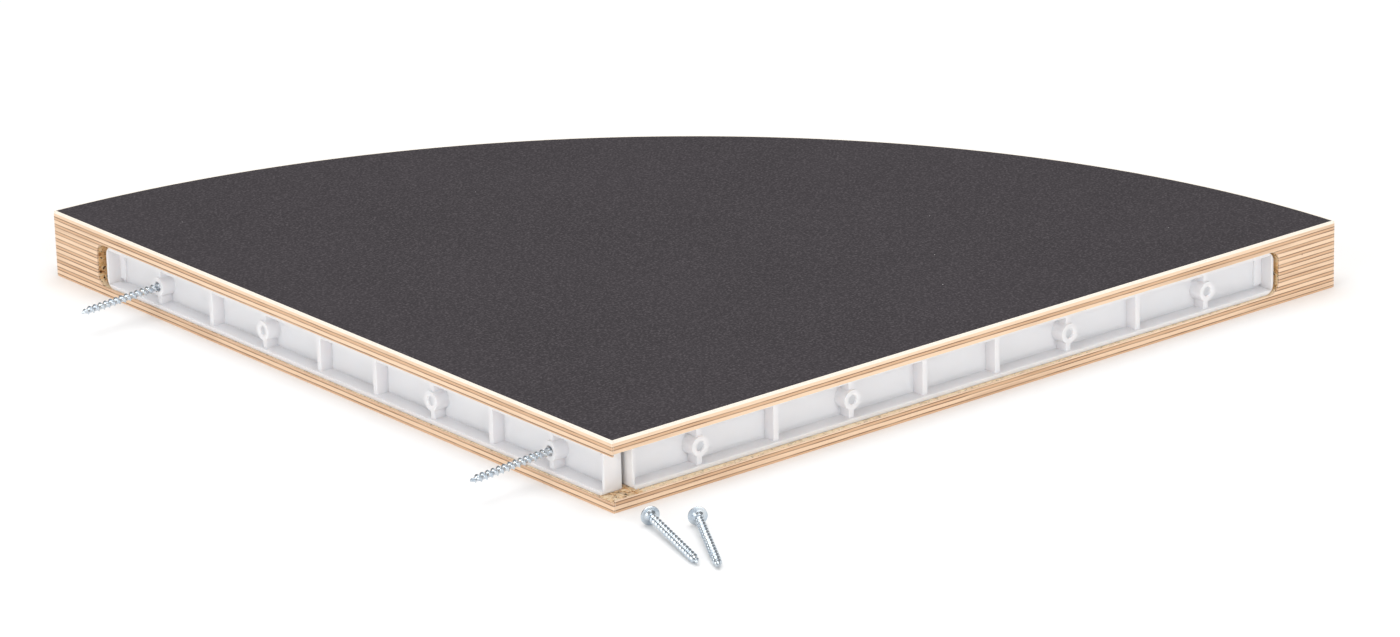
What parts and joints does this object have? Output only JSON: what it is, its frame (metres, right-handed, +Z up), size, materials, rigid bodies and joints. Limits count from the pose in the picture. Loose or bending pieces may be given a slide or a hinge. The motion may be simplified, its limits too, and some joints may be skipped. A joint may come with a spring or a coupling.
{
  "type": "quarter-round riser platform",
  "caption": "Quarter-circle platform panel with a dark laminate deck, ply-look edging and white ribbed fixing rails let into its straight edges.",
  "frame": {"origin": "on the underside, at the centre of the 500 mm square that the quarter circle fits in", "axes": "+Z up out of the deck, +X along the right straight edge away from the square corner, +Y along the left straight edge away from it"},
  "size_m": [0.5476, 0.5932, 0.038],
  "materials": {
    "chipboard": "raw pressed wood chips, cut face",
    "deck_laminate": "anthracite laminate with a fine orange-peel texture",
    "backing_laminate": "plain dark balancing laminate",
    "ply_band": "edge band striped like birch plywood, satin",
    "white_plastic": "injection-moulded, satin white",
    "zinc_steel": "bright zinc plate"
  },
  "bodies": {
    "panel": {"core_board": "chipboard", "deck_laminate": "deck_laminate", "backing_laminate": "backing_laminate", "edge_band_left": "ply_band", "edge_band_right": "ply_band", "edge_band_round": "ply_band"},
    "left_rail": {"left_rail": "white_plastic"},
    "right_rail": {"right_rail": "white_plastic"},
    "rail_screw_corner": {"rail_screw_corner": "zinc_steel"},
    "rail_screw_far": {"rail_screw_far": "zinc_steel"},
    "loose_screw_front": {"loose_screw_front": "zinc_steel"},
    "loose_screw_side": {"loose_screw_side": "zinc_steel"}
  },
  "joints": [
    {"name": "left_rail_slide", "type": "slide", "parent": "panel", "child": "left_rail", "axis": [-1, 0, 0], "range_m": [0, 0.035]},
    {"name": "right_rail_slide", "type": "slide", "parent": "panel", "child": "right_rail", "axis": [0, -1, 0], "range_m": [0, 0.035]},
    {"name": "corner_screw_turn", "type": "hinge", "parent": "left_rail", "child": "rail_screw_corner", "pos_m": [-0.24225, -0.19509, 0.0172], "axis": [-0.9982, -0.0023, -0.0593], "continuous": true},
    {"name": "far_screw_turn", "type": "hinge", "parent": "left_rail", "child": "rail_screw_far", "pos_m": [-0.24304, 0.15211, 0.0172], "axis": [-0.9982, -0.0023, -0.0593], "continuous": true},
    {"name": "loose_front_lift", "type": "slide", "parent": "panel", "child": "loose_screw_front", "axis": [0, 0, 1], "range_m": [0, 0.1]},
    {"name": "loose_side_lift", "type": "slide", "parent": "panel", "child": "loose_screw_side", "axis": [0, 0, 1], "range_m": [0, 0.1]}
  ]
}
